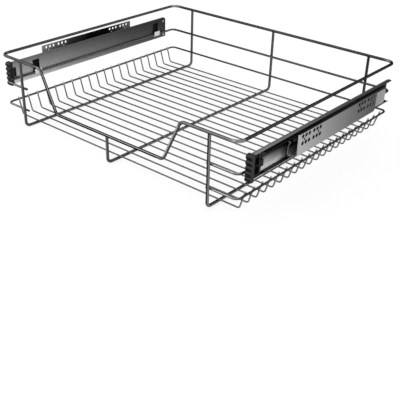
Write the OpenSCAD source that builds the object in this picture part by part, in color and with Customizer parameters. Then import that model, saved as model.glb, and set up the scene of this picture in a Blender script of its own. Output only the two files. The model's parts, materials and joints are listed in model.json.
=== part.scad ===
// Pull out wire basket for a kitchen cabinet, carried by a ball-bearing telescopic slide on each side.
// +X is to the right, the front is towards -Y, and Z = 0 is the surface that the frame wires stand on.

/* [Cabinet and basket] */
// Clear width between the cabinet's two side panels
cabinet_w = 564; // [500:1:800]
// Depth between the centres of the front and rear rim wires
basket_d = 440; // [430:1:500]
// Height of the centre of the rim wire
rim_z = 120; // [115:1:160]
// Height of the centre of the lower ring wire
lower_ring_z = 31.5; // [28:0.5:38]

/* [Wires] */
// Diameter of the rim wire
rim_wire_d = 5; // [4:0.1:7]
// Diameter of the three frame wires
frame_wire_d = 5; // [4:0.1:7]
// Diameter of the middle ring wire
middle_ring_d = 4; // [3:0.1:5]
// Diameter of the lower ring wire
lower_ring_d = 3.5; // [2.5:0.1:4.5]
// Diameter of the floor wires
floor_wire_d = 2.5; // [2:0.1:3.5]
// How far two welded wires sink into each other
weld_bite = 0.25; // [0.15:0.01:0.3]

/* [Bends] */
// Radius of the rim's four corners, at the centre of the wire
rim_corner_r = 14; // [9:0.5:20]
// Radius of the corners of the two rings
ring_corner_r = 9; // [6:0.5:14]
// Radius of the bends of the frame wires
frame_bend_r = 8; // [5:0.5:12]
// Radius of the bends of the floor wires
floor_bend_r = 5; // [3:0.5:8]
// Radius of the four bends of the dip in the front rim
dip_bend_r = 11; // [8:0.5:14]

/* [Layout of the wires] */
// Height of the centre of the low run of the front dip
dip_z = 49.3; // [44:0.1:60]
// Distance from the rim's side to the top of the dip's slope
dip_inset = 102; // [85:1:110]
// Slope of the dip's sides from level
dip_slope = 64.5; // [55:0.5:75]
// Distance from the rim's side to the outer frame wires
frame_inset = 50; // [40:1:60]
// How far the open ends of the rings run past the outer frame wires
ring_overhang = 6.5; // [4:0.5:12]
// Number of floor wires
floor_wires = 20; // [16:1:22]
// Distance from the front and rear rim wires to the nearest floor wire
floor_margin = 24.5; // [23:0.5:32]
// Lean of the turned-up ends of the floor wires from upright
floor_lean = 17; // [10:0.5:22]
// How far the tips of the floor wires stand above the lower ring's centre
floor_tip = 4.5; // [2.5:0.5:6]

/* [Slides] */
// Height of the centre line of the slides
slide_z = 78.5; // [76:0.5:84]
// Height of the drawer member
slide_h = 40; // [39:0.5:46]
// Thickness of the three nested members, from the drawer member's web to the cabinet member's web
slide_t = 12.7; // [12.5:0.1:13]
// Distance from the front rim wire to the front of the end caps
slide_setback = 14; // [12:1:20]
// Length of the drawer member
drawer_member_l = 392; // [385:1:396]
// Length of the middle member
middle_member_l = 344; // [340:1:348]
// Length of the cabinet member
cabinet_member_l = 290; // [284:1:296]
// Distance from the front of the drawer member to the front of the cabinet member
cabinet_setback = 77; // [72:1:84]
// How far the basket pulls out
travel = 370; // [300:1:374]
// Thickness of the drawer member's steel
drawer_t = 1.2; // [1.1:0.05:1.3]
// Thickness of the middle member's steel
middle_t = 1; // [0.9:0.05:1.05]
// Thickness of the cabinet member's steel
cabinet_t = 1; // [0.9:0.05:1.05]
// Gap between the webs of the drawer member and the middle member
web_gap = 1.1; // [1.05:0.05:1.2]
// Size of the bevels at the front corners of the cabinet member
front_bevel = 6.5; // [3:0.5:8]
// Size of the bevels at the rear corners of the cabinet member
rear_bevel = 4; // [2:0.5:6]
// Radius of the two holes at the rear corners of the drawer member
corner_hole_r = 1.75; // [1.5:0.05:2.2]
// Distance of the corner holes from the member's edges
corner_hole_in = 6; // [5:0.5:8]

/* [Ball bearings] */
// Radius of the balls between the drawer member and the middle member
outer_ball_r = 2; // [1.95:0.01:2.05]
// Radius of the balls between the middle member and the cabinet member
inner_ball_r = 1.5; // [1.45:0.01:1.55]
// Distance of the outer ball rows from the drawer member's face
outer_row_x = 6; // [5.9:0.05:6.1]
// Gap between a ball and its race
race_play = 0.1; // [0.08:0.01:0.12]
// Balls in each row
balls_per_row = 8; // [6:1:9]
// Distance between neighbouring balls in a row
ball_pitch = 12; // [9:0.5:12]
// Thickness of the outer ball cage
outer_cage_t = 0.5; // [0.4:0.05:0.5]
// Thickness of the inner ball cage
inner_cage_t = 0.4; // [0.3:0.05:0.4]

/* [Hooks] */
// Depth of the hooks' seat for the middle ring below the slides' centre line
hook_seat = 10; // [8.5:0.5:11.5]
// Height of a hook's lip above its seat
hook_lip = 8.5; // [6:0.5:10]
// Width of a hook along the slide
hook_w = 15; // [9:0.5:18]
// Height of the window above the slides' centre line
window_top = 14.5; // [12:0.5:15]
// Distance from the front of the drawer member to the middle of the front hook
front_hook_y = 50; // [44:1:56]
// Distance from the rear of the drawer member to the middle of the rear hook
rear_hook_y = 31; // [25:1:40]

/* [Mounting brackets] */
// Thickness of the bracket's steel
bracket_t = 1.5; // [1.2:0.1:1.8]
// Distance from the cabinet member's web to the cabinet's side panel
bracket_offset = 12; // [10:0.5:16]
// Length of the hole plate
plate_l = 227; // [222:1:240]
// Height of the hole plate
plate_h = 34; // [33:0.5:38]
// Distance from the front of the cabinet member to the front of the hole plate
plate_setback = 7; // [4:0.5:12]
// How far the hole plate stands above the top of the slide
plate_rise = 5; // [3:0.5:7]
// Radius of the screw holes
screw_hole_r = 2.5; // [1.75:0.05:2.75]
// Distance between neighbouring screw holes in a group of three
screw_pitch = 8.5; // [7:0.1:9]
// Distance between the middles of the two groups of three at each end
screw_group_pitch = 29; // [27:0.5:31]
// Distance from each end of the plate to the middle of its hole pattern
screw_end_in = 33.5; // [32.5:0.5:36]
// Distance between the upper and the lower row of screw holes
screw_row_pitch = 11; // [9:0.5:13]
// Distance from the plate's top edge to the upper row
screw_row_drop = 4.5; // [4:0.1:6]
// Radius of the pilot holes between the rows
pilot_hole_r = 1.25; // [1:0.05:1.5]
// Distance between the two pilot holes at each end
pilot_pitch = 37; // [34:0.5:40]
// Size of the bevel at the plate's lower rear corner
plate_bevel = 5; // [2:0.5:8]
// Radius of the rivets' shanks
rivet_r = 2; // [1.5:0.1:2.5]
// Radius of the rivets' heads
rivet_head_r = 3.6; // [3:0.1:4.2]
// Height of the rivets' heads
rivet_head_h = 1.2; // [0.8:0.1:1.6]
// Distance between neighbouring rivets
rivet_pitch = 60; // [40:1:68]

/* [End caps] */
// Length of the ribbed block in front of the drawer member
cap_l = 8; // [6:0.5:10]
// Width of the ribbed block
cap_w = 10.5; // [9.5:0.1:12]
// Height of the ribbed block
cap_h = 42; // [40.5:0.5:47]
// Number of grip ribs
cap_ribs = 5; // [4:1:7]
// Length of the plug inside the drawer member
plug_l = 16; // [12:1:22]
// Length of the narrow nose behind the plug
plug_nose_l = 8; // [5:1:12]
// Height of the nose
plug_nose_h = 10; // [6:0.5:16]
// Thickness of the plug's walls around its two pockets
plug_wall = 1.5; // [1:0.1:2.5]
// Thickness of the tongue over the drawer member's web
tongue_t = 1.5; // [1:0.1:2]
// Height of the tongue
tongue_h = 16; // [10:0.5:20]

/* [Hidden] */
// Clearance between pieces that seat on each other
seat_gap = 0.3;
// A bend is this much thicker than the straight stretches on each side of it,
// which run this far into it, so that they merge into one solid at any size
swell = 0.01;
lap = 0.05;
lap_angle = 1.5;
// Facets for the views only: every curve is a true circle
$fn = 32;

WIRE = "dimgray";
STEEL = "silver";
BLACK = [0.08, 0.08, 0.08];

// Basket
slide_depth = slide_t + bracket_offset;
web_x = cabinet_w / 2 - slide_depth;
rim_x = web_x - seat_gap - middle_ring_d / 2;
front_y = -basket_d / 2;
rear_y = basket_d / 2;
frame_x = rim_x - frame_inset;
frame_z = frame_wire_d / 2;
dip_top_x = rim_x - dip_inset;
dip_low_x = dip_top_x - (rim_z - dip_z) / tan(dip_slope);
middle_ring_z = slide_z - hook_seat + middle_ring_d / 2;

// Floor wires
floor_z = frame_z + (frame_wire_d + floor_wire_d) / 2 - weld_bite;
floor_weld_x = rim_x - ((lower_ring_d + floor_wire_d) / 2 - weld_bite) / cos(floor_lean);
floor_corner_x = floor_weld_x - (lower_ring_z - floor_z) * tan(floor_lean);
floor_tip_x = floor_weld_x + floor_tip * tan(floor_lean);
floor_pitch = (basket_d - 2 * floor_margin) / (floor_wires - 1);

// Slides, along Y
cap_front_y = front_y + slide_setback;
drawer_front = cap_front_y + cap_l;
drawer_rear = drawer_front + drawer_member_l;
end_step = 2;
middle_front = drawer_front + plug_l + plug_nose_l + end_step;
middle_rear = middle_front + middle_member_l;
cabinet_front = drawer_front + cabinet_setback;
cabinet_rear = cabinet_front + cabinet_member_l;
cage_end = 8;
cage_l = (balls_per_row - 1) * ball_pitch + 2 * cage_end;
cage_front = cabinet_front + travel / 4 + end_step;
cage_rear = cage_front + cage_l;
plate_front = cabinet_front + plate_setback;
plate_rear = plate_front + plate_l;
plate_mid_y = (plate_front + plate_rear) / 2;
screw_end_pitch = plate_l - 2 * screw_end_in;

// Slides, across their section: x is measured outwards from the drawer member's face, y is height
outer_race_r = outer_ball_r + race_play;
inner_race_r = inner_ball_r + race_play;
outer_row = [outer_row_x, slide_h / 2 - drawer_t - outer_race_r];
row_step = (outer_race_r + inner_race_r + middle_t) * cos(45);
inner_row = outer_row + row_step * [1, -1];
middle_web_x = drawer_t + web_gap + middle_t / 2;
cabinet_web_x = slide_t - cabinet_t / 2;
roof_slope = 12;
drawer_bend_r = 1.6;
drawer_lip_angle = 25;
middle_lip_angle = 20;
cabinet_lip_angle = 210;
cabinet_edge_z = inner_row.y + inner_race_r * sin(cabinet_lip_angle);

// Ball cages: play in a pocket, the flange past its balls, the inner flange below its ball centres
pocket_play = 0.15;
cage_margin = 0.9;
inner_cage_drop = 0.28;

// Mounting bracket, across its section
plate_top = slide_h / 2 + plate_rise;
plate_foot = plate_top - plate_h;
plate_x = slide_depth - bracket_t / 2;
upstand_x = slide_t + bracket_t / 2;
upstand_top = 8;
bracket_bend_r = 2.5;

// End cap: how far the plug runs into the ribbed block, and the tongue over the web and the ring
cap_root = 1;
tongue_clearance = 1;
tongue_foot = middle_ring_d + tongue_clearance - hook_seat;
tongue_reach = 5;

SIDES = ["left", "right"];
SLIDE_PIECES = [
    "drawer_member", "outer_ball_cage", "outer_balls", "middle_member", "inner_ball_cage",
    "inner_balls", "cabinet_member", "mounting_bracket", "bracket_rivets", "end_cap"
];
FRAME_WIRES = ["left_frame_wire", "centre_frame_wire", "right_frame_wire"];

function floor_wire_name(i) = str("floor_wire_", i < 10 ? "0" : "", i);

// ---- Bent wires ----

function unit(v) = v / norm(v);
function bend_angle(u, v) = acos(u * v);
function wrap(points, i) = points[(i + len(points)) % len(points)];

// Straight round bar between two points
module bar(from, to, r) {
    run = to - from;
    translate(from)
        rotate([0, acos(run.z / norm(run)), atan2(run.y, run.x)])
            cylinder(h = norm(run), r = r);
}

// Elbow at a corner, from the direction u to the direction v
module elbow(corner, u, v, r, bend_r) {
    angle = bend_angle(u, v);
    inward = unit(v - u * (u * v));
    centre = corner - u * bend_r * tan(angle / 2) + inward * bend_r;
    axis = cross(u, inward);
    multmatrix([
        [-inward.x, u.x, axis.x, centre.x],
        [-inward.y, u.y, axis.y, centre.y],
        [-inward.z, u.z, axis.z, centre.z],
        [0, 0, 0, 1]
    ])
        rotate_extrude(angle = angle)
            translate([bend_r, 0])
                circle(r + swell);
}

// Wire through the points, bent at each of them with its own radius; a bend radius of 0 is a cut end
module bent_wire(points, d, bends) {
    closed = bends[0] > 0;
    last = len(points) - 1;
    for (i = [0 : closed ? last : last - 1]) {
        from = points[i];
        to = wrap(points, i + 1);
        along = unit(to - from);
        before = unit(from - wrap(points, i - 1));
        after = unit(wrap(points, i + 2) - to);
        start_r = bends[i];
        end_r = wrap(bends, i + 1);
        start_cut = start_r > 0 ? start_r * tan(bend_angle(before, along) / 2) - lap : 0;
        end_cut = end_r > 0 ? end_r * tan(bend_angle(along, after) / 2) - lap : 0;
        bar(from + along * start_cut, to - along * end_cut, d / 2);
        if (end_r > 0)
            elbow(to, along, after, d / 2, end_r);
    }
}

// Closed rim with the access dip in its front run
module rim_wire() {
    corner = rim_corner_r;
    dip = dip_bend_r;
    color(WIRE)
        bent_wire([
            [-dip_low_x, front_y, dip_z],
            [-dip_top_x, front_y, rim_z],
            [-rim_x, front_y, rim_z],
            [-rim_x, rear_y, rim_z],
            [rim_x, rear_y, rim_z],
            [rim_x, front_y, rim_z],
            [dip_top_x, front_y, rim_z],
            [dip_low_x, front_y, dip_z]
        ], rim_wire_d, [dip, dip, corner, corner, corner, corner, dip, dip]);
}

// Ring inside the frame wires, open at the front between the outer frame wires
module open_ring(z, d) {
    inset = (frame_wire_d + d) / 2 - weld_bite;
    end_x = frame_x - ring_overhang;
    color(WIRE)
        bent_wire([
            [-end_x, front_y + inset, z],
            [-rim_x, front_y + inset, z],
            [-rim_x, rear_y - inset, z],
            [rim_x, rear_y - inset, z],
            [rim_x, front_y + inset, z],
            [end_x, front_y + inset, z]
        ], d, [0, ring_corner_r, ring_corner_r, ring_corner_r, ring_corner_r, 0]);
}

// Frame wire: up to the front rim, along the floor and up to the rear rim
module frame_wire(x, front_top_z) {
    butt = rim_wire_d / 2 - weld_bite;
    color(WIRE)
        bent_wire([
            [x, front_y, front_top_z - butt],
            [x, front_y, frame_z],
            [x, rear_y, frame_z],
            [x, rear_y, rim_z - butt]
        ], frame_wire_d, [0, frame_bend_r, frame_bend_r, 0]);
}

// Floor wire, its ends turned up and welded inside the lower ring
module floor_wire(i) {
    y = front_y + floor_margin + (i - 1) * floor_pitch;
    tip_z = lower_ring_z + floor_tip;
    color(WIRE)
        bent_wire([
            [-floor_tip_x, y, tip_z],
            [-floor_corner_x, y, floor_z],
            [floor_corner_x, y, floor_z],
            [floor_tip_x, y, tip_z]
        ], floor_wire_d, [0, floor_bend_r, floor_bend_r, 0]);
}

// ---- Rolled steel sections ----

// Curved strip of a section: a ring sector from angle a to angle b
module curl(centre, r, t, a, b, swell = swell) {
    reach = 4 * (r + t);
    middle = (a + b) / 2;
    translate(centre)
        intersection() {
            difference() {
                circle(r + t + swell);
                circle(r - swell);
            }
            polygon([
                [0, 0],
                reach * [cos(a), sin(a)],
                reach * [cos(middle), sin(middle)],
                reach * [cos(b), sin(b)]
            ]);
        }
}

// Straight strip of a section, centred on the line between two points, with a lap at each end
module strip(from, to, t) {
    run = to - from;
    translate(from)
        rotate(atan2(run.y, run.x))
            translate([-lap, -t / 2])
                square([norm(run) + 2 * lap, t]);
}

// Both halves of a section that is symmetrical about the slide's centre line
module both_halves() {
    children();
    mirror([0, 1])
        children();
}

// Section carried along the slide from front to rear
module roll(front, rear) {
    translate([0, rear, 0])
        rotate([90, 0, 0])
            linear_extrude(rear - front)
                children();
}

// Cut across a corner of a rolled piece, at 45 degrees
module bevel_cut(y, z, size) {
    translate([0, y, z])
        rotate([45, 0, 0])
            cube([2 * slide_depth, sqrt(2) * size, sqrt(2) * size], center = true);
}

// Small bend that turns a web into the race beside it
function web_bend_r(web_x, race_x) = abs(web_x - race_x) / (1 + cos(45));

module drawer_half() {
    roof_r = outer_race_r + drawer_t / 2;
    roof_a = 90 + roof_slope;
    roof_end = outer_row + roof_r * [cos(roof_a), sin(roof_a)];
    bend_centre_x = drawer_t / 2 + drawer_bend_r;
    roof_start_x = bend_centre_x + drawer_bend_r * cos(roof_a);
    roof_start = [roof_start_x, roof_end.y - (roof_end.x - roof_start_x) * tan(roof_slope)];
    bend_centre = [bend_centre_x, roof_start.y - drawer_bend_r * sin(roof_a)];
    strip([drawer_t / 2, 0], [drawer_t / 2, bend_centre.y], drawer_t);
    curl(bend_centre, drawer_bend_r - drawer_t / 2, drawer_t, roof_a, 180);
    strip(roof_start, roof_end, drawer_t);
    curl(outer_row, outer_race_r, drawer_t, drawer_lip_angle, roof_a);
}

module middle_half() {
    valley_r = outer_race_r + middle_t / 2;
    valley_start = outer_row + valley_r * [cos(225), sin(225)];
    bend_r = web_bend_r(middle_web_x, valley_start.x);
    bend_centre = [middle_web_x + bend_r, valley_start.y - bend_r * sin(45)];
    strip([middle_web_x, 0], [middle_web_x, bend_centre.y], middle_t);
    curl(bend_centre, bend_r - middle_t / 2, middle_t, 45, 180);
    curl(outer_row, outer_race_r, middle_t, 225 - lap_angle, 315 + lap_angle, swell = 0);
    curl(inner_row, inner_race_r, middle_t, middle_lip_angle, 135);
}

module cabinet_half() {
    valley_r = inner_race_r + cabinet_t / 2;
    valley_end = inner_row + valley_r * [cos(315), sin(315)];
    bend_r = web_bend_r(cabinet_web_x, valley_end.x);
    bend_centre = [cabinet_web_x - bend_r, valley_end.y - bend_r * sin(45)];
    strip([cabinet_web_x, 0], [cabinet_web_x, bend_centre.y], cabinet_t);
    curl(bend_centre, bend_r - cabinet_t / 2, cabinet_t, 0, 135);
    curl(inner_row, inner_race_r, cabinet_t, cabinet_lip_angle, 315 + lap_angle, swell = 0);
}

// ---- Slide pieces, drawn for the right side ----

// Channel fixed to the basket, with two hooks lanced out of its web
module drawer_member() {
    hooks_y = [drawer_front + front_hook_y, drawer_rear - rear_hook_y];
    foot_z = -hook_seat - drawer_t / 2;
    window_foot = foot_z - drawer_bend_r;
    color(STEEL)
        union() {
            difference() {
                roll(drawer_front, drawer_rear)
                    both_halves()
                        drawer_half();
                for (y = hooks_y)
                    translate([-drawer_t, y - hook_w / 2, window_foot])
                        cube([3 * drawer_t, hook_w, window_top - window_foot]);
                for (z = [-1, 1])
                    translate([-drawer_t, drawer_rear - corner_hole_in, z * (slide_h / 2 - corner_hole_in)])
                        rotate([0, 90, 0])
                            cylinder(h = 3 * drawer_t, r = corner_hole_r);
            }
            for (y = hooks_y)
                roll(y - hook_w / 2, y + hook_w / 2)
                    hook(foot_z);
        }
}

// Hook in section: a foot under the ring wire and a lip inside it
module hook(foot_z) {
    lip_x = -2 * seat_gap - middle_ring_d - drawer_t / 2;
    inner_r = drawer_bend_r - drawer_t / 2;
    root = [drawer_t / 2 - drawer_bend_r, foot_z - drawer_bend_r];
    toe = [lip_x + drawer_bend_r, foot_z + drawer_bend_r];
    curl(root, inner_r, drawer_t, 0, 90);
    strip([toe.x, foot_z], [root.x, foot_z], drawer_t);
    curl(toe, inner_r, drawer_t, 180, 270);
    strip([lip_x, toe.y], [lip_x, hook_lip - hook_seat], drawer_t);
}

module middle_member() {
    color(STEEL)
        roll(middle_front, middle_rear)
            both_halves()
                middle_half();
}

module cabinet_member() {
    color(STEEL)
        difference() {
            roll(cabinet_front, cabinet_rear)
                both_halves()
                    cabinet_half();
            rivet_holes();
            for (z = [-cabinet_edge_z, cabinet_edge_z]) {
                bevel_cut(cabinet_front, z, front_bevel);
                bevel_cut(cabinet_rear, z, rear_bevel);
            }
        }
}

// Ball places along the slide
function ball_ys() = [for (i = [0 : balls_per_row - 1]) cage_front + cage_end + i * ball_pitch];

// Thin channel with a pocket for each ball
module ball_cage(web_x, flange_x, flange_z, row_x, pocket_r, t) {
    bend_r = 2 * t;
    color(STEEL)
        difference() {
            roll(cage_front, cage_rear)
                both_halves() {
                    strip([web_x, 0], [web_x, flange_z - bend_r], t);
                    curl([web_x + bend_r, flange_z - bend_r], bend_r - t / 2, t, 90, 180);
                    strip([web_x + bend_r, flange_z], [flange_x, flange_z], t);
                }
            for (y = ball_ys())
                translate([row_x, y, -flange_z - t])
                    cylinder(h = 2 * flange_z + 2 * t, r = pocket_r);
        }
}

module outer_ball_cage() {
    ball_cage(
        drawer_t + web_gap / 2, outer_row.x + outer_ball_r + cage_margin, outer_row.y,
        outer_row.x, outer_ball_r + pocket_play, outer_cage_t
    );
}

module inner_ball_cage() {
    ball_cage(
        middle_web_x + middle_t / 2 + seat_gap + inner_cage_t / 2,
        inner_row.x + inner_ball_r + cage_margin, inner_row.y - inner_cage_drop,
        inner_row.x, inner_ball_r + pocket_play, inner_cage_t
    );
}

module ball_rows(row, r) {
    color("gainsboro")
        for (y = ball_ys(), side = [-1, 1])
            translate([row.x, y, side * row.y])
                sphere(r);
}

module outer_balls() {
    ball_rows(outer_row, outer_ball_r);
}

module inner_balls() {
    ball_rows(inner_row, inner_ball_r);
}

// ---- Mounting bracket ----

rivet_ys = [for (k = [-1.5, -0.5, 0.5, 1.5]) plate_mid_y + k * rivet_pitch];

// Places of the screw holes along the slide, at both ends of the plate
screw_ys = [
    for (end = [-1, 1], group = [-1, 1], k = [-1, 0, 1])
        plate_mid_y + end * screw_end_pitch / 2 + group * screw_group_pitch / 2 + k * screw_pitch
];

// Round hole through the plate, along X
module plate_hole(y, z, r) {
    translate([plate_x - bracket_t, y, z])
        rotate([0, 90, 0])
            cylinder(h = 2 * bracket_t, r = r);
}

module rivet_holes() {
    for (y = rivet_ys)
        translate([slide_t - 2 * cabinet_t, y, 0])
            rotate([0, 90, 0])
                cylinder(h = 2 * cabinet_t + 2 * bracket_t, r = rivet_r);
}

// Hole plate against the cabinet's side, a foot back to the slide and an upstand riveted to it
module mounting_bracket() {
    foot_z = plate_foot + bracket_t / 2;
    inner_r = bracket_bend_r - bracket_t / 2;
    color(STEEL)
        difference() {
            roll(plate_front, plate_rear) {
                strip([upstand_x, foot_z + bracket_bend_r], [upstand_x, upstand_top], bracket_t);
                curl([upstand_x + bracket_bend_r, foot_z + bracket_bend_r], inner_r, bracket_t, 180, 270);
                strip([upstand_x + bracket_bend_r, foot_z], [plate_x - bracket_bend_r, foot_z], bracket_t);
                curl([plate_x - bracket_bend_r, foot_z + bracket_bend_r], inner_r, bracket_t, 270, 360);
                strip([plate_x, foot_z + bracket_bend_r], [plate_x, plate_top], bracket_t);
            }
            for (y = screw_ys, row = [0, 1])
                plate_hole(y, plate_top - screw_row_drop - row * screw_row_pitch, screw_hole_r);
            for (end = [-1, 1], side = [-1, 1])
                plate_hole(
                    plate_mid_y + end * screw_end_pitch / 2 + side * pilot_pitch / 2,
                    plate_top - screw_row_drop - screw_row_pitch / 2, pilot_hole_r
                );
            rivet_holes();
            bevel_cut(plate_rear, plate_foot, plate_bevel);
        }
}

// Rivets through the bracket's upstand and the cabinet member's web
module bracket_rivets() {
    shank_l = cabinet_t + bracket_t;
    color(STEEL)
        for (y = rivet_ys)
            translate([slide_t - cabinet_t, y, 0])
                rotate([0, 90, 0])
                    union() {
                        translate([0, 0, -rivet_head_h])
                            cylinder(h = rivet_head_h, r = rivet_head_r);
                        cylinder(h = shank_l, r = rivet_r);
                        translate([0, 0, shank_l])
                            cylinder(h = rivet_head_h, r = rivet_head_r);
                    }
}

// ---- End cap ----

// Black plastic cap: ribbed block, hollow plug in the channel, and a tongue over the web
module end_cap() {
    rib_pitch = cap_h / cap_ribs;
    rib_r = rib_pitch / 2;
    plug_x = drawer_t + seat_gap;
    plug_w = outer_row.x + outer_ball_r - plug_x;
    plug_h = 2 * (outer_row.y - outer_ball_r);
    pocket_h = (plug_h - 3 * plug_wall) / 2;
    color(BLACK)
        union() {
            translate([0, cap_front_y, 0])
                rotate([90, 0, 90])
                    linear_extrude(cap_w)
                        intersection() {
                            translate([0, -cap_h / 2])
                                square([cap_l, cap_h]);
                            union() {
                                translate([rib_r / 2, -cap_h / 2])
                                    square([cap_l - rib_r / 2, cap_h]);
                                for (i = [0 : cap_ribs - 1])
                                    translate([rib_r, (i + 0.5) * rib_pitch - cap_h / 2])
                                        circle(rib_r);
                            }
                        }
            difference() {
                translate([plug_x, drawer_front - cap_root, -plug_h / 2])
                    cube([plug_w, plug_l + cap_root, plug_h]);
                for (z = [-plug_wall / 2 - pocket_h, plug_wall / 2])
                    translate([plug_x + plug_wall, drawer_front + plug_wall, z])
                        cube([plug_w, plug_l - 2 * plug_wall - cap_root, pocket_h]);
            }
            translate([plug_x, drawer_front + plug_l - cap_root, -plug_nose_h / 2])
                cube([plug_w, plug_nose_l + cap_root, plug_nose_h]);
            translate([-tongue_t, drawer_front - cap_l / 2, tongue_foot])
                cube([tongue_t, cap_l / 2 + tongue_reach, tongue_h]);
        }
}

// ---- Assembly ----

// Places a piece that is drawn for the right side on either side of the basket
module on_side(side) {
    mirror([side == "left" ? 1 : 0, 0, 0])
        translate([web_x, 0, slide_z])
            children();
}

rim_wire();
open_ring(middle_ring_z, middle_ring_d);  // middle_ring_wire
open_ring(lower_ring_z, lower_ring_d);  // lower_ring_wire
frame_wire(-frame_x, rim_z);  // left_frame_wire
frame_wire(0, dip_z);  // centre_frame_wire
frame_wire(frame_x, rim_z);  // right_frame_wire
for (i = [1 : floor_wires])
    floor_wire(i);
for (side = SIDES) {
    on_side(side) drawer_member();
    on_side(side) outer_ball_cage();
    on_side(side) outer_balls();
    on_side(side) middle_member();
    on_side(side) inner_ball_cage();
    on_side(side) inner_balls();
    on_side(side) cabinet_member();
    on_side(side) mounting_bracket();
    on_side(side) bracket_rivets();
    on_side(side) end_cap();
}
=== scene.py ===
import json
from math import cos, radians, sin

import bmesh
import bpy
from mathutils import Matrix, Vector

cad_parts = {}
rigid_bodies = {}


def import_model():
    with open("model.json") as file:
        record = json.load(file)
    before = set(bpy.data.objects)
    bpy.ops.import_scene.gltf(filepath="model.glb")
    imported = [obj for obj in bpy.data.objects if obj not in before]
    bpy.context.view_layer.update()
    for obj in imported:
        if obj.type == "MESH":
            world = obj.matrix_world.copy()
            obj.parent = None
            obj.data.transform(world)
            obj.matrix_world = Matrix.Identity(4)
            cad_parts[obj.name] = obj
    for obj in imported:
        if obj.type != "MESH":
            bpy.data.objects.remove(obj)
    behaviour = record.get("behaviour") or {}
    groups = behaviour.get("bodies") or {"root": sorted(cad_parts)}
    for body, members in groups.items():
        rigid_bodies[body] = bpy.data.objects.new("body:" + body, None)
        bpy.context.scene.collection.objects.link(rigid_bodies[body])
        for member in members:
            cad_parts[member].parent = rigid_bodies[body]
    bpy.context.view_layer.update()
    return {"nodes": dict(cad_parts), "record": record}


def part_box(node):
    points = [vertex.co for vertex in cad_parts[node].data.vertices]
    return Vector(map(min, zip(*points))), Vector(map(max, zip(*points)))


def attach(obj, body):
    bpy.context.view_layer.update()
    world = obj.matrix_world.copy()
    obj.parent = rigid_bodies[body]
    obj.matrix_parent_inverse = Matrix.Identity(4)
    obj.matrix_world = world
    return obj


for leftover in list(bpy.data.objects):
    bpy.data.objects.remove(leftover)
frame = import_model()
nodes = frame["nodes"]
scene = bpy.context.scene
scene.view_settings.view_transform = "Standard"


# ---- Camera ----
# A standing viewer looks down at the basket over its front right corner, 1.3 m from its
# middle. A slightly long lens and a small shift set the framing.
camera_place = (0.7642, -0.9161, 0.5303)
yaw, pitch, roll = radians(39.424), radians(30.348), radians(1.648)
forward = Vector((-sin(yaw) * cos(pitch), cos(yaw) * cos(pitch), -sin(pitch)))
level = Vector((cos(yaw), sin(yaw), 0))
upright = level.cross(forward)
right = cos(roll) * level + sin(roll) * upright
up = cos(roll) * upright - sin(roll) * level
turned = Matrix((right, up, -forward)).transposed().to_4x4()
lens = bpy.data.cameras.new("camera")
lens.sensor_width = 36
lens.lens = 65.03
lens.shift_y = 0.0093
camera = bpy.data.objects.new("camera", lens)
camera.matrix_world = Matrix.Translation(camera_place) @ turned
scene.collection.objects.link(camera)
scene.camera = camera


# ---- Floor and light ----
# White floor that keeps a faint shadow under the basket, a white room and three soft lamps.
# Seen directly or mirrored in metal, floor and room are a little brighter than their own light.
floor_size = 30
floor_drop = 0.0005
floor_grey = 0.97
floor_glow = 0.82
room_light = 0.85
room_seen = 1.0
white = (1, 1, 1, 1)


def new_material(name):
    """An empty node material: its tree and its output."""
    material = bpy.data.materials.new(name)
    material.use_nodes = True
    tree = material.node_tree
    tree.nodes.clear()
    return material, tree, tree.nodes.new("ShaderNodeOutputMaterial")


def wired(tree, kind, sockets, **settings):
    """A shader node with its settings made, its sockets set to a value or joined to an output."""
    made = tree.nodes.new("ShaderNode" + kind)
    for key, value in settings.items():
        setattr(made, key, value)
    for key, value in sockets.items():
        if isinstance(value, bpy.types.NodeSocket):
            tree.links.new(value, made.inputs[key])
        else:
            made.inputs[key].default_value = value
    return made


def maths(tree, operation, *values):
    """The output of a Math node that works on the values."""
    return wired(tree, "Math", dict(enumerate(values)), operation=operation).outputs[0]


floor_material, tree, output = new_material("white_floor")
matte = wired(tree, "BsdfDiffuse", {"Color": (floor_grey, floor_grey, floor_grey, 1)})
glow = wired(tree, "Emission", {"Color": white})
rays = wired(tree, "LightPath", {}).outputs
seen = maths(tree, "MAXIMUM", rays["Is Camera Ray"], rays["Is Glossy Ray"])
share = maths(tree, "MULTIPLY", seen, floor_glow)
blend = wired(tree, "MixShader", {0: share, 1: matte.outputs[0], 2: glow.outputs[0]})
tree.links.new(blend.outputs[0], output.inputs["Surface"])

bpy.ops.mesh.primitive_plane_add(size=floor_size, location=(0, 0, 0))
floor = bpy.context.object
floor.name = "floor"
floor.data.transform(Matrix.Translation((0, 0, -floor_drop)))
floor.data.materials.append(floor_material)

world = bpy.data.worlds.new("white_room")
world.use_nodes = True
scene.world = world
tree = world.node_tree
tree.nodes.clear()
output = tree.nodes.new("ShaderNodeOutputWorld")
ambient = wired(tree, "Background", {"Color": white, "Strength": room_light})
backdrop = wired(tree, "Background", {"Color": white, "Strength": room_seen})
rays = wired(tree, "LightPath", {}).outputs
seen = maths(tree, "MAXIMUM", rays["Is Camera Ray"], rays["Is Glossy Ray"])
seen = maths(tree, "MAXIMUM", seen, rays["Is Transmission Ray"])
blend = wired(tree, "MixShader", {0: seen, 1: ambient.outputs[0], 2: backdrop.outputs[0]})
tree.links.new(blend.outputs[0], output.inputs["Surface"])


def soft_lamp(name, place, target, width, height, power):
    """A rectangular soft box that faces the target."""
    data = bpy.data.lights.new(name, "AREA")
    data.shape = "RECTANGLE"
    data.size, data.size_y = width, height
    data.energy = power
    lamp = bpy.data.objects.new(name, data)
    aim = (Vector(target) - Vector(place)).to_track_quat("-Z", "Y")
    lamp.matrix_world = Matrix.Translation(place) @ aim.to_matrix().to_4x4()
    scene.collection.objects.link(lamp)


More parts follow.
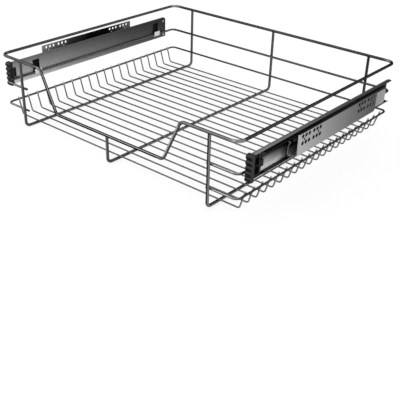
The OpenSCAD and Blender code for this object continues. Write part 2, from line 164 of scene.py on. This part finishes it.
soft_lamp("overhead_lamp", (-0.3, 0.3, 2.2), (0, 0, 0), 1.4, 1.4, 9)
soft_lamp("front_left_lamp", (-1.29, -1.57, 1.19), (0, 0, 0.05), 1.0, 1.4, 15)
soft_lamp("right_lamp", (2.0, 0.6, 1.2), (0, 0, 0.05), 0.8, 0.8, 7)


# ---- Wires of the basket ----
# Drawn steel wire, bent cold, spot welded where wires cross and plated with dark bright
# chrome. The thick wires carry a darker, deeper plating than the thin ones of the floor.
def shader_group(name, numbers, outputs):
    """An empty node group with number inputs, and its input and output ends."""
    group = bpy.data.node_groups.new(name, "ShaderNodeTree")
    for label, value in numbers.items():
        socket = group.interface.new_socket(label, in_out="INPUT", socket_type="NodeSocketFloat")
        socket.default_value = value
    for label in outputs:
        group.interface.new_socket(label, in_out="OUTPUT", socket_type="NodeSocketFloat")
    given = group.nodes.new("NodeGroupInput").outputs
    return group, given, group.nodes.new("NodeGroupOutput").inputs


def uses(tree, group, **numbers):
    """A group placed in a material with its own values."""
    made = tree.nodes.new("ShaderNodeGroup")
    made.node_tree = group
    for label, value in numbers.items():
        made.inputs[label].default_value = value
    return made.outputs


def object_axes(tree):
    """A point's X, Y and Z in the object's own coordinates."""
    place = wired(tree, "TexCoord", {})
    return wired(tree, "SeparateXYZ", {0: place.outputs["Object"]}).outputs


def product(tree, *factors):
    """Colours or numbers multiplied together."""
    result = factors[0]
    for factor in factors[1:]:
        joined = wired(tree, "VectorMath", {0: result, 1: factor}, operation="MULTIPLY")
        result = joined.outputs[0]
    return result


def step(tree, value, span, start=0.0, end=1.0):
    """A number that goes from start to end while the value goes across the span."""
    sockets = {0: value, 1: span[0], 2: span[1], 3: start, 4: end}
    return wired(tree, "MapRange", sockets).outputs[0]


def grade(tree, value, span, stops):
    """Greys that run with a value over its span: each stop is a value and its grey."""
    low, high = span
    ramp = wired(tree, "ValToRGB", {0: step(tree, value, span)})
    elements = ramp.color_ramp.elements
    while len(elements) < len(stops):
        elements.new(0.5)
    for element, (at, grey) in zip(elements, stops):
        element.position = (at - low) / (high - low)
        element.color = (grey, grey, grey, 1)
    return ramp.outputs["Color"]


def either(tree, mask, low, high):
    """One colour or grey where the mask is 0 and another where it is 1."""
    mixed = wired(tree, "Mix", {0: mask}, data_type="RGBA")
    for socket, colour in ((mixed.inputs[6], low), (mixed.inputs[7], high)):
        if isinstance(colour, bpy.types.NodeSocket):
            tree.links.new(colour, socket)
        else:
            socket.default_value = (colour, colour, colour, 1)
    return mixed.outputs[2]


def give(material, *words):
    """Gives the material to every node with one of the words in its name."""
    for name, piece in nodes.items():
        if any(word in name for word in words):
            piece.data.materials[0] = material


# Plating thickness: soft clouds that shift the tone and the polish
cloud_inputs = {"Size": 60, "Tone": 0.1, "Polish": 0.04}
plating, given, result = shader_group("plating_cloud", cloud_inputs, ["Shade", "Dullness"])
place = wired(plating, "TexCoord", {}).outputs["Object"]
noise = {"Vector": place, "Scale": given["Size"], "Detail": 3, "Roughness": 0.55}
cloud = wired(plating, "TexNoise", noise).outputs["Fac"]
swing = maths(plating, "SUBTRACT", cloud, 0.5)
tone = maths(plating, "MULTIPLY", swing, given["Tone"])
plating.links.new(maths(plating, "ADD", tone, 1.0), result["Shade"])
plating.links.new(maths(plating, "MULTIPLY", swing, given["Polish"]), result["Dullness"])

# The wires' lighter band is a painted highlight on the side that faces about one lean, with a
# crest of its own strength. Only the front wires have it, most of all on the dip's slopes and
# at the corners.
lean_names = ("Right", "Front", "Up")
front_lean = (-0.10, -0.88, 0.46)
band_span = (0.77, 0.86)
crest_span = (0.91, 0.96)
front_span = (-0.12, -0.19)
corner_span = (0.232, 0.246)
dip_span = (0.04, 0.13)
slope_stops = [(0.050, 0), (0.056, 1), (0.112, 1), (0.118, 0)]
highlight_inputs = {"Level": 1.0, "Crown": 0.25, "Rear": 0.0, **dict(zip(lean_names, front_lean))}
bright_side, given, result = shader_group("bright_side", highlight_inputs, ["Mask", "Flank"])
axes = object_axes(bright_side)
normal = wired(bright_side, "NewGeometry", {}).outputs["Normal"]
lean = wired(bright_side, "CombineXYZ", {i: given[name] for i, name in enumerate(lean_names)})
towards = wired(bright_side, "VectorMath", {0: normal, 1: lean.outputs[0]}, operation="DOT_PRODUCT")
band = step(bright_side, towards.outputs["Value"], band_span)
crest = step(bright_side, towards.outputs["Value"], crest_span, 1.0, given["Crown"])
near = step(bright_side, axes["Y"], front_span)
slope = grade(bright_side, axes["Z"], dip_span, slope_stops)
corner = step(bright_side, maths(bright_side, "ABSOLUTE", axes["X"]), corner_span)
steep = maths(bright_side, "MAXIMUM", slope, corner)
share = maths(bright_side, "MAXIMUM", steep, given["Level"])
mask = product(bright_side, band, crest, near, share)

# Painted highlights on the bends of the front corners all round, and on the rim's rear ones
front_bend_span, front_bend_share = (-0.205, -0.215), 0.3
rear_bend_span = (0.205, 0.215)
front_bend = step(bright_side, axes["Y"], front_bend_span, end=front_bend_share)
rear_bend = step(bright_side, axes["Y"], rear_bend_span, end=given["Rear"])
bends = maths(bright_side, "MAXIMUM", front_bend, rear_bend)
bends = maths(bright_side, "MULTIPLY", bends, corner)
bright_side.links.new(maths(bright_side, "MAXIMUM", mask, bends), result["Mask"])

# Painted highlights on the flanks of the wires that run from front to rear, most of all low down
low_flank_span, low_flank_lift = (-0.05, -0.30), 3.0
facing = wired(bright_side, "SeparateXYZ", {0: normal}).outputs
sideways = maths(bright_side, "ABSOLUTE", facing["X"])
under = step(bright_side, facing["Z"], low_flank_span, 1.0, low_flank_lift)
away = maths(bright_side, "MULTIPLY", near, given["Level"])
away = maths(bright_side, "SUBTRACT", 1.0, away)
lift = product(bright_side, sideways, under, away)
bright_side.links.new(maths(bright_side, "ADD", lift, 1.0), result["Flank"])


def metal(name, edge, metallic=1.0, specular=0.5):
    """A metal's shader with its constant values on its own sockets."""
    material, tree, output = new_material(name)
    values = {"Metallic": metallic, "Specular IOR Level": specular}
    shader = wired(tree, "BsdfPrincipled", {**values, "Specular Tint": (edge, edge, edge, 1)})
    tree.links.new(shader.outputs[0], output.inputs["Surface"])
    return material, tree, shader


chrome_clouds = {"Size": 90, "Tone": 0.4, "Polish": 0.12}


def chrome(name, dark, light, level, roughness, crown=0.25, rear=0.0, lean=front_lean):
    """Dark chrome plating with painted highlights: its nodes and its colour."""
    material, tree, shader = metal(name, edge=0.12)
    cloud = uses(tree, plating, **chrome_clouds)
    leans = dict(zip(lean_names, lean))
    bright = uses(tree, bright_side, Level=level, Crown=crown, Rear=rear, **leans)
    clean = either(tree, bright["Mask"], dark, light)
    colour = product(tree, clean, bright["Flank"], cloud["Shade"])
    tree.links.new(colour, shader.inputs["Base Color"])
    tree.links.new(maths(tree, "ADD", cloud["Dullness"], roughness), shader.inputs["Roughness"])
    return material, tree, shader, colour


rim_chrome, tree, shader, colour = chrome(
    "rim_chrome", dark=0.036, light=0.42, level=0.45, roughness=0.2, rear=0.3)

# Painted reflection along the dip: a bright line runs along it, with a dark one below
dip_lean = (0.117, 0.703, 0.703)
lean_span = (-1.0, 1.0)
dip_stops = [(-0.90, 0.05), (-0.82, 0.006), (-0.30, 0.006), (-0.18, 0.32), (0.10, 0.32),
             (0.28, 0.03), (1.0, 0.02)]
low_run_span, low_run_share = (0.054, 0.062), 0.45
below_rim_span = (0.116, 0.110)
right_end_span = (0.112, 0.105)
axes = object_axes(tree)
normal = wired(tree, "NewGeometry", {}).outputs["Normal"]
upward = wired(tree, "VectorMath", {0: normal, 1: dip_lean}, operation="DOT_PRODUCT")
dip_reflection = grade(tree, upward.outputs["Value"], lean_span, dip_stops)
dip_level = either(tree, step(tree, axes["Z"], low_run_span), low_run_share, 1.0)
below_rim = step(tree, axes["Z"], below_rim_span)
in_dip = product(tree, below_rim, step(tree, axes["X"], right_end_span))
clouds = uses(tree, plating, **chrome_clouds)["Shade"]
dip_reflection_colour = product(tree, dip_reflection, dip_level, clouds)
tree.links.new(either(tree, in_dip, colour, dip_reflection_colour), shader.inputs["Base Color"])

# The lighter greys of these wires are painted highlights on the side that faces each lean
frame_chrome, *_ = chrome("frame_chrome", dark=0.075, light=0.28, level=1.0, roughness=0.24)
right_chrome, *_ = chrome(
    "right_chrome", dark=0.040, light=0.20, level=1.0, roughness=0.24, crown=1.0,
    lean=(0.94, -0.35, 0.0))
ring_chrome, *_ = chrome(
    "ring_chrome", dark=0.055, light=0.24, level=1.0, roughness=0.24, crown=1.0,
    lean=(0.0, -0.6, 0.8))

# Painted highlight on the top ends of the floor wires
tip_span, tip_highlight_grey = (0.0322, 0.0336), 0.55
floor_chrome, tree, shader, colour = chrome(
    "floor_chrome", dark=0.098, light=0.098, level=0.0, roughness=0.28)
tip_highlight = step(tree, object_axes(tree)["Z"], tip_span)
tree.links.new(either(tree, tip_highlight, colour, tip_highlight_grey), shader.inputs["Base Color"])

give(rim_chrome, "rim_wire")
give(ring_chrome, "ring_wire")
give(frame_chrome, "left_frame_wire", "centre_frame_wire")
give(right_chrome, "right_frame_wire")
give(floor_chrome, "floor_wire")


# ---- Spot welds ----
# Small squeezed beads where the floor wires cross the frame wires and meet the lower ring,
# where the rings cross the frame wires, and where the frame wires butt against the rim.
frame_wire_d = 0.005
lower_ring_d = 0.0035
weld_bite = 0.0001
rim_weld_z, dip_weld_z = 0.1170, 0.0470
floor_bead = (0.0018, 0.0016, 0.0006)
tip_bead = (0.0006, 0.0015, 0.0017)
rim_bead = (0.0029, 0.0024, 0.0009)
ring_bead = (0.0019, 0.0006, 0.0019)
beads = bmesh.new()


def bead(x, y, z, radii):
    """One weld bead: a small ball pressed to the radii."""
    shape = Matrix.Translation((x, y, z)) @ Matrix.Diagonal((*radii, 1))
    bmesh.ops.create_icosphere(beads, subdivisions=2, radius=1, matrix=shape)


def middle(box):
    """The middle of a node's box."""
    low, high = box
    return (low + high) / 2


lower_ring, middle_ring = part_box("lower_ring_wire"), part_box("middle_ring_wire")
frame_wires = {name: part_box(name + "_frame_wire") for name in ("left", "centre", "right")}
tip_x = lower_ring[1].x - lower_ring_d - weld_bite
for name in sorted(nodes):
    if name.startswith("floor_wire"):
        y = middle(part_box(name)).y
        for box in frame_wires.values():
            bead(middle(box).x, y, frame_wire_d - weld_bite, floor_bead)
        for side in (-1, 1):
            bead(side * tip_x, y, middle(lower_ring).z, tip_bead)
for name, box in frame_wires.items():
    x = middle(box).x
    for side, end_y in ((-1, box[0].y), (1, box[1].y)):
        at_dip = side < 0 and name == "centre"
        bead(x, end_y - side * frame_wire_d / 2, dip_weld_z if at_dip else rim_weld_z, rim_bead)
        if not at_dip:
            for ring in (lower_ring, middle_ring):
                bead(x, end_y - side * (frame_wire_d - weld_bite), middle(ring).z, ring_bead)
mesh = bpy.data.meshes.new("weld_beads")
beads.to_mesh(mesh)
beads.free()
mesh.polygons.foreach_set("use_smooth", [True] * len(mesh.polygons))
weld_beads = bpy.data.objects.new("weld_beads", mesh)
scene.collection.objects.link(weld_beads)
weld_chrome, *_ = chrome("weld_chrome", dark=0.16, light=0.16, level=0.0, roughness=0.36)
mesh.materials.append(weld_chrome)
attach(weld_beads, "basket")


# ---- Drawer members ----
# The outer channels of the slides, fixed to the basket: cold-rolled strip with a zinc plating
# and fine marks of the rollers along it. A painted reflection makes them bright at the front
# and darker to the rear, and painted shade darkens them higher up.
web_x = 0.2573
slide_z = 0.0785

# Where a point lies on a slide: along it, above its centre line and outwards from its web
spot_names = ["Along", "Height", "Outward", "Faces Out", "Faces Front"]
slide_place, _, result = shader_group("place_on_slide", {}, spot_names)
axes = object_axes(slide_place)
across = maths(slide_place, "ABSOLUTE", axes["X"])
side = maths(slide_place, "SIGN", axes["X"])
normal = wired(slide_place, "NewGeometry", {}).outputs["True Normal"]
facing = wired(slide_place, "SeparateXYZ", {0: normal}).outputs
slide_place.links.new(axes["Y"], result["Along"])
slide_place.links.new(maths(slide_place, "SUBTRACT", axes["Z"], slide_z), result["Height"])
slide_place.links.new(maths(slide_place, "SUBTRACT", across, web_x), result["Outward"])
slide_place.links.new(maths(slide_place, "MULTIPLY", facing["X"], side), result["Faces Out"])
slide_place.links.new(maths(slide_place, "MULTIPLY", facing["Y"], -1.0), result["Faces Front"])

# Marks of the rollers: long thin streaks along the strip
streak_scale = (900, 9, 900)
rolling, given, result = shader_group("rolling_marks", {"Tone": 0.1}, ["Shade", "Relief"])
place = wired(rolling, "TexCoord", {}).outputs["Object"]
stretched = wired(rolling, "Mapping", {"Vector": place, "Scale": streak_scale}).outputs[0]
noise = {"Vector": stretched, "Scale": 1, "Detail": 4, "Roughness": 0.6}
streak = wired(rolling, "TexNoise", noise).outputs["Fac"]
tone = maths(rolling, "MULTIPLY", maths(rolling, "SUBTRACT", streak, 0.5), given["Tone"])
rolling.links.new(maths(rolling, "ADD", tone, 1.0), result["Shade"])
rolling.links.new(streak, result["Relief"])


def strip_steel(name, roughness, metallic):
    """Zinc-plated strip, and the shade of its plating and rolling marks."""
    material, tree, shader = metal(name, edge=0.4, metallic=metallic, specular=0.18)
    cloud = uses(tree, plating, Size=35, Tone=0.16, Polish=0.12)
    marks = uses(tree, rolling, Tone=0.2)
    relief = {"Height": marks["Relief"], "Strength": 0.12, "Distance": 0.0002}
    tree.links.new(wired(tree, "Bump", relief).outputs[0], shader.inputs["Normal"])
    tree.links.new(maths(tree, "ADD", cloud["Dullness"], roughness), shader.inputs["Roughness"])
    return material, tree, shader, product(tree, cloud["Shade"], marks["Shade"])


slide_height = (-0.020, 0.020)
channel_depth = (0.0, 0.010)
drawer_length = (-0.198, 0.194)
# Painted reflection along the length and painted shade up the height
length_stops = [(-0.198, 0.95), (-0.13, 0.70), (-0.03, 0.40), (0.08, 0.19), (0.194, 0.095)]
height_stops = [(-0.0172, 0.9), (-0.0165, 0.68), (0, 0.46), (0.0095, 0.33), (0.0165, 0.27),
                (0.0185, 0.16)]
drawer_steel, tree, shader, shade = strip_steel("drawer_steel", roughness=0.42, metallic=0.4)
spot = uses(tree, slide_place)
length_tone = grade(tree, spot["Along"], drawer_length, length_stops)
height_tone = grade(tree, spot["Height"], slide_height, height_stops)

# Painted highlights on the rolled edges of the roof, and painted shadow blackens the sole up to
# its edge
centre_line = (-0.001, 0.001)
roof_stops = [(0.0010, 1.0), (0.0018, 1.4), (0.0026, 0.85), (0.0055, 0.85), (0.0066, 1.6),
              (0.0080, 1.4), (0.0088, 0.35), (0.0093, 0.15)]
sole_stops = [(0.0014, 1.0), (0.0022, 0.05), (0.0080, 0.05), (0.0088, 1.35)]
roof_tone = grade(tree, spot["Outward"], channel_depth, roof_stops)
sole_shadow = grade(tree, spot["Outward"], channel_depth, sole_stops)
above = step(tree, spot["Height"], centre_line)
rail_tone = product(tree, length_tone, height_tone, either(tree, above, sole_shadow, roof_tone))

# Painted shade on the lip that turns down from the roof, and painted highlights on the lanced
# hooks
lip_depth, lip_top, lip_shade_colour = (0.0080, 0.0086), (0.0178, 0.0170), (0.18, 0.18, 0.18)
hook_depth, hook_highlight_grey = (-0.0008, -0.0014), 0.7
lip = step(tree, spot["Outward"], lip_depth)
lip = product(tree, lip, above, step(tree, spot["Height"], lip_top))
rail_tone = either(tree, lip, rail_tone, product(tree, length_tone, lip_shade_colour))
hook = step(tree, spot["Outward"], hook_depth)
colour = product(tree, either(tree, hook, rail_tone, hook_highlight_grey), shade)
tree.links.new(colour, shader.inputs["Base Color"])
give(drawer_steel, "drawer_member")


# ---- Ball cages and balls ----
# Pressed strip cages with a pocket for each ball, and polished bearing balls, both wet with
# the dark grease that fills the races.
cage_colour = (0.06, 0.06, 0.058)
ball_colour = (0.16, 0.16, 0.155)
ball_roughness = 0.16
cage_steel, tree, shader, shade = strip_steel("cage_steel", roughness=0.5, metallic=0.4)
tree.links.new(product(tree, shade, cage_colour), shader.inputs["Base Color"])
ball_steel, tree, shader = metal("ball_steel", edge=0.5)
film = uses(tree, plating, Size=700, Tone=1.2, Polish=0.2)
tree.links.new(product(tree, film["Shade"], ball_colour), shader.inputs["Base Color"])
tree.links.new(maths(tree, "ADD", film["Dullness"], ball_roughness), shader.inputs["Roughness"])
give(cage_steel, "_ball_cage")
give(ball_steel, "_balls")


# ---- Middle members ----
# The telescopic sections between the two ball races, rolled from zinc-plated strip. Their webs
# are bright low down and at the front, and painted shade darkens their upper half, inner side
# and rolled race edges and the stretch behind the front.
middle_length = (-0.172, 0.172)
upper_stops = [(-0.172, 1.0), (-0.158, 0.97), (-0.152, 0.8), (-0.146, 0.65), (-0.140, 0.53),
               (-0.120, 0.5), (0.10, 0.35), (0.172, 0.6)]
lower_stops = [(-0.172, 1.0), (-0.135, 0.94), (-0.120, 0.6), (-0.100, 0.35), (0.172, 0.6)]
lower_height = (-0.003, -0.0125)
height_stops = [(-0.0135, 1.0), (-0.0100, 0.78), (-0.0068, 0.47), (-0.0037, 0.36),
                (-0.0006, 0.27), (0.0025, 0.13), (0.0052, 0.016), (0.020, 0.016)]
race_depth, race_shade_grey = (0.0046, 0.0058), 0.03
inner_facing, inner_shade_grey = (-0.3, -0.7), 0.004
middle_steel, tree, shader, shade = strip_steel("middle_steel", roughness=0.42, metallic=0.35)
spot = uses(tree, slide_place)
upper_tone = grade(tree, spot["Along"], middle_length, upper_stops)
lower_tone = grade(tree, spot["Along"], middle_length, lower_stops)
length_tone = either(tree, step(tree, spot["Height"], lower_height), upper_tone, lower_tone)
height_tone = grade(tree, spot["Height"], slide_height, height_stops)
race_tone = either(tree, step(tree, spot["Outward"], race_depth), 1.0, race_shade_grey)
inner_side = step(tree, spot["Faces Out"], inner_facing)
web_tone = product(tree, length_tone, height_tone, race_tone)
colour = product(tree, either(tree, inner_side, web_tone, inner_shade_grey), shade)
tree.links.new(colour, shader.inputs["Base Color"])
give(middle_steel, "middle_member")


# ---- Cabinet members and rivets ----
# The fixed inner sections, each held to its bracket by four rivets. Painted shadow blackens the
# stretch behind the hole plate and the front end, darkest at the top, and leaves the rear end
# bright.
cabinet_length = (-0.121, 0.169)
length_stops = [(-0.112, 0.15), (-0.100, 0.022), (0.110, 0.012), (0.116, 0.25), (0.169, 0.31)]
plate_shadow_stops = [(-0.0120, 0.14), (-0.0060, 0.11), (0.0020, 0.05), (0.0060, 0.003)]
front_end_span = (-0.104, -0.110)
cut_facing, cut_highlight_grey = (0.4, 0.7), 0.4
rivet_colour = (0.12, 0.12, 0.12)

# Painted shadow by the hole plate: black at the top and fainter at the bottom
plate_shadow, _, result = shader_group("plate_shadow", {}, ["Shade"])
height = maths(plate_shadow, "SUBTRACT", object_axes(plate_shadow)["Z"], slide_z)
plate_shadow.links.new(grade(plate_shadow, height, slide_height, plate_shadow_stops), result["Shade"])

cabinet_steel, tree, shader, shade = strip_steel("cabinet_steel", roughness=0.4, metallic=0.35)
spot = uses(tree, slide_place)
length_tone = grade(tree, spot["Along"], cabinet_length, length_stops)
# Painted shadow down the front end, and a painted highlight on the cut front faces
front_end = step(tree, spot["Along"], front_end_span)
cut_end = step(tree, spot["Faces Front"], cut_facing)
web_tone = either(tree, front_end, length_tone, uses(tree, plate_shadow)["Shade"])
colour = product(tree, either(tree, cut_end, web_tone, cut_highlight_grey), shade)
tree.links.new(colour, shader.inputs["Base Color"])
rivet_steel, tree, shader, shade = strip_steel("rivet_steel", roughness=0.36, metallic=0.4)
tree.links.new(product(tree, shade, rivet_colour), shader.inputs["Base Color"])
give(cabinet_steel, "cabinet_member")
give(rivet_steel, "bracket_rivets")


# ---- Mounting brackets ----
# Bent zinc-plated sheet: a hole plate that screws to the cabinet's side, a foot and a riveted
# upstand. A painted reflection makes the outer face bright at the front and darker to the rear,
# and painted shade darkens the inner face in the middle.
plate_length = (-0.114, 0.113)
plate_depth = (0.021, 0.023)
outer_stops = [(-0.114, 0.43), (-0.04, 0.28), (0.03, 0.155), (0.113, 0.07)]
inner_stops = [(-0.114, 0.48), (-0.075, 0.22), (-0.045, 0.06), (0.0, 0.004), (0.06, 0.004),
               (0.08, 0.10), (0.113, 0.24)]
outer_facing = (0.2, 0.6)
edge_facing, edge_grey = (0.6, 0.3), 0.01
front_edge_span, front_edge_highlight = (-0.1120, -0.1134), 0.6
hole_rim_start, hole_rim_full, hole_shadow_grey = 0.0011, 0.0004, 0.02

# Painted shade round the punched holes: each pattern mirrors one hole about its own middle,
# and the plates of both sides share them
hole_shadows, _, result = shader_group("hole_shadows", {}, ["Mask"])
axes = object_axes(hole_shadows)
rims = 0.0
for mount in frame["record"]["mounts"]:
    if mount["kind"] == "bolt_pattern" and mount["name"].startswith("right_"):
        dims = mount["dims"]
        spacings = {"Y": dims["spacing_x_mm"], "Z": dims.get("spacing_y_mm", 0)}
        offsets = {}
        for i, (axis, spacing) in enumerate(spacings.items()):
            aside = maths(hole_shadows, "SUBTRACT", axes[axis], mount["pos_m"][i + 1])
            mirrored = maths(hole_shadows, "ABSOLUTE", aside)
            offsets[i] = maths(hole_shadows, "SUBTRACT", mirrored, spacing / 2000)
        apart = wired(hole_shadows, "CombineXYZ", offsets).outputs[0]
        reach = wired(hole_shadows, "VectorMath", {0: apart}, operation="LENGTH").outputs["Value"]
        hole_r = dims["hole_r_mm"] / 1000
        rim = step(hole_shadows, reach, (hole_r + hole_rim_start, hole_r + hole_rim_full))
        rims = maths(hole_shadows, "MAXIMUM", rims, rim)
hole_shadows.links.new(rims, result["Mask"])

bracket_steel, tree, shader, shade = strip_steel("bracket_steel", roughness=0.42, metallic=0.4)
spot = uses(tree, slide_place)
outer_tone = grade(tree, spot["Along"], plate_length, outer_stops)
outer_tone = either(tree, uses(tree, hole_shadows)["Mask"], outer_tone, hole_shadow_grey)
inner_tone = grade(tree, spot["Along"], plate_length, inner_stops)
sheet = either(tree, step(tree, spot["Faces Out"], outer_facing), inner_tone, outer_tone)

# Painted shade on the sheet's cut edges, a painted highlight on the front one, and painted
# shadow on the upstand
flatness = maths(tree, "ABSOLUTE", spot["Faces Out"])
front_edge = step(tree, spot["Along"], front_edge_span)
edge_tone = either(tree, front_edge, edge_grey, front_edge_highlight)
sheet = either(tree, step(tree, flatness, edge_facing), sheet, edge_tone)
plate = step(tree, spot["Outward"], plate_depth)
colour = product(tree, either(tree, plate, uses(tree, plate_shadow)["Shade"], sheet), shade)
tree.links.new(colour, shader.inputs["Base Color"])
give(bracket_steel, "mounting_bracket")


# ---- End caps ----
# Black moulded plastic with a fine sparked grain: a hollow plug in the channel and a ribbed
# grip block in front of it. The upper sides of the ribs carry a painted highlight and their
# undersides painted shade.
cap_roughness = 0.55
grain_scale = 2600
plug_grey, flat_grey = 0.007, 0.024
block_span = (-0.1975, -0.1985)
flat_facing = (0.5, 0.9)
rib_facing = (-1.0, 1.0)
rib_stops = [(-0.5, 0.001), (0.0, 0.004), (0.25, 0.008), (0.5, 0.05), (0.9, 0.05), (1.0, 0.02)]
cap_plastic, tree, output = new_material("cap_plastic")
shader = wired(tree, "BsdfPrincipled", {"Specular IOR Level": 0.09})
tree.links.new(shader.outputs[0], output.inputs["Surface"])
place = wired(tree, "TexCoord", {}).outputs["Object"]
grain = wired(tree, "TexNoise", {"Vector": place, "Scale": grain_scale, "Detail": 2})
relief = {"Height": grain.outputs["Fac"], "Strength": 0.25, "Distance": 0.0002}
tree.links.new(wired(tree, "Bump", relief).outputs[0], shader.inputs["Normal"])
cloud = uses(tree, plating, Size=120, Tone=0.6, Polish=0.2)
spot = uses(tree, slide_place)
normal = wired(tree, "NewGeometry", {}).outputs["Normal"]
facing = wired(tree, "SeparateXYZ", {0: normal}).outputs
rib_painted_light = grade(tree, facing["Z"], rib_facing, rib_stops)
flatness = maths(tree, "ABSOLUTE", spot["Faces Out"])
block_tone = either(tree, step(tree, flatness, flat_facing), rib_painted_light, flat_grey)
cap_tone = either(tree, step(tree, spot["Along"], block_span), plug_grey, block_tone)
tree.links.new(product(tree, cap_tone, cloud["Shade"]), shader.inputs["Base Color"])
tree.links.new(maths(tree, "ADD", cloud["Dullness"], cap_roughness), shader.inputs["Roughness"])
give(cap_plastic, "end_cap")
